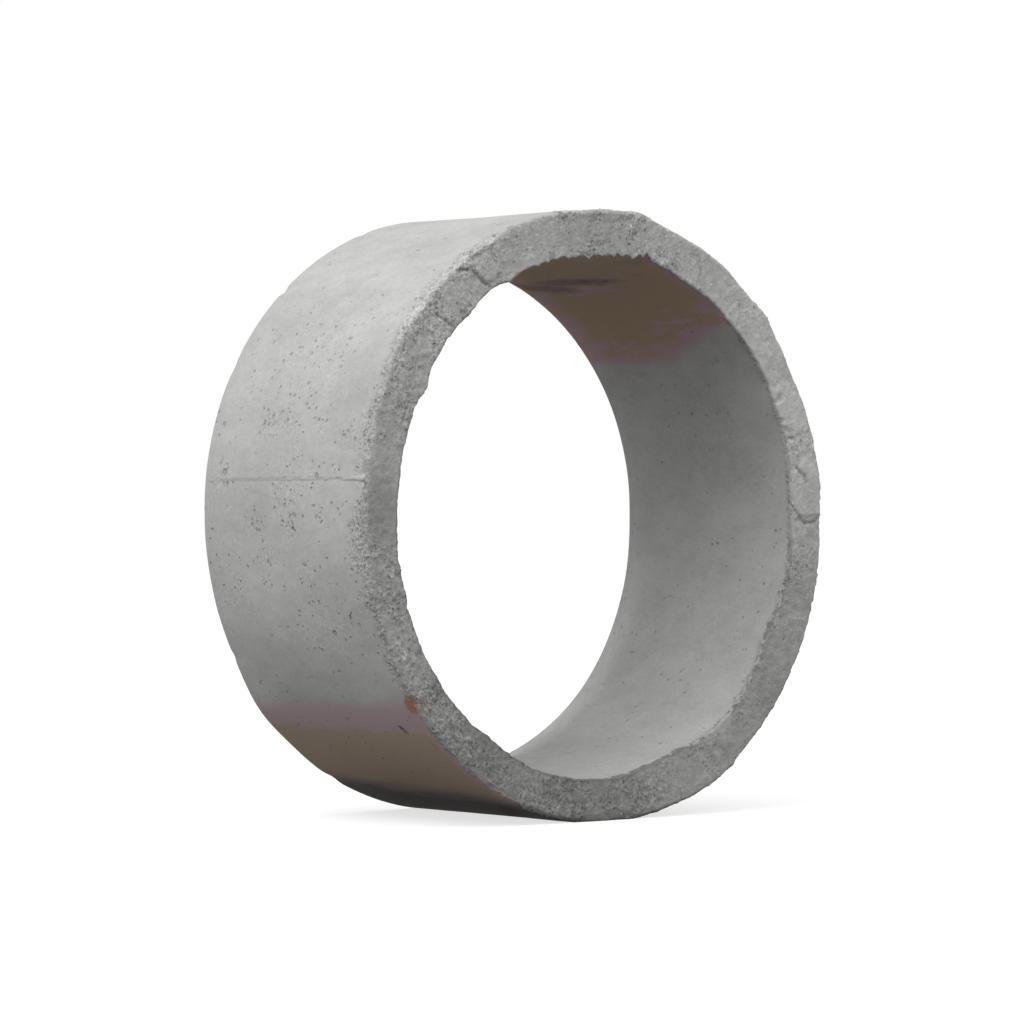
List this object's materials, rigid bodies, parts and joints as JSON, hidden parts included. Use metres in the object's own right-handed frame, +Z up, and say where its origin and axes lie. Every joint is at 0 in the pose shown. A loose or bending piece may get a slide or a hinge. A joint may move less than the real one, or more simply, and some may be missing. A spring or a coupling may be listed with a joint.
{
  "type": "concrete culvert ring",
  "caption": "Plain concrete culvert ring cast in one piece, lying on its rim, with a wide open bore, a rough struck-off end and a smooth end with a shallow lead-in.",
  "frame": {"origin": "on the floor, under the middle of the ring's length, where the rim touches", "axes": "+Z up, the bore's axis along Y, +Y towards the smooth end with the lead-in, -Y towards the rough struck-off end"},
  "size_m": [1.16, 0.5, 1.1599],
  "materials": {
    "cast_concrete": "matte"
  },
  "bodies": {
    "root": {"culvert_ring": "cast_concrete"}
  },
  "joints": []
}
